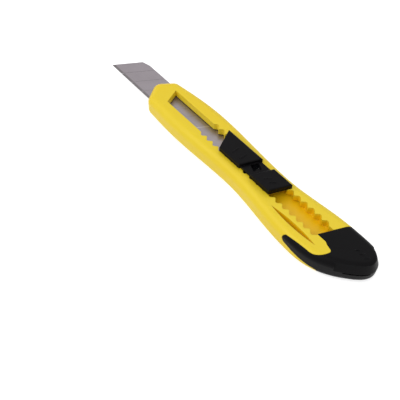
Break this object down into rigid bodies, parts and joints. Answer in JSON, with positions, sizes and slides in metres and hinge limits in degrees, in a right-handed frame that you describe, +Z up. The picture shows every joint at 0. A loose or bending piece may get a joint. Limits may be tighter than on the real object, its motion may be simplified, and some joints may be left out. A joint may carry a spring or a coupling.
{
  "type": "utility knife",
  "caption": "Snap-off utility knife: moulded handle with a toothed thumb slot and lanyard slot, scored blade on a sliding thumb slider, and an end cap with a snapping slit.",
  "frame": {"origin": "on the flat underside, at the middle of the handle's length and on the blade's centre line", "axes": "+X towards the blade tip, +Y towards the cutting edge, +Z up out of the side with the thumb slider"},
  "size_m": [0.2015, 0.0316, 0.0181],
  "materials": {
    "yellow_plastic": "satin moulded ABS",
    "black_plastic": "satin moulded",
    "blade_steel": "rolled, ground edge",
    "plate_steel": "stamped, blackened",
    "spring_steel": "rolled, blued"
  },
  "bodies": {
    "grip": {"handle": "yellow_plastic"},
    "carriage": {"thumb_slider": "black_plastic", "blade_holder": "plate_steel", "blade_stud": "plate_steel", "blade": "blade_steel", "lock_spring": "spring_steel"},
    "cap": {"end_cap": "black_plastic"}
  },
  "joints": [
    {"name": "blade_slide", "type": "slide", "parent": "grip", "child": "carriage", "axis": [1, 0, 0], "range_m": [-0.04, 0.035], "deforming": ["lock_spring"]},
    {"name": "cap_pull", "type": "slide", "parent": "grip", "child": "cap", "axis": [-1, 0, 0], "range_m": [0, 0.03]}
  ]
}
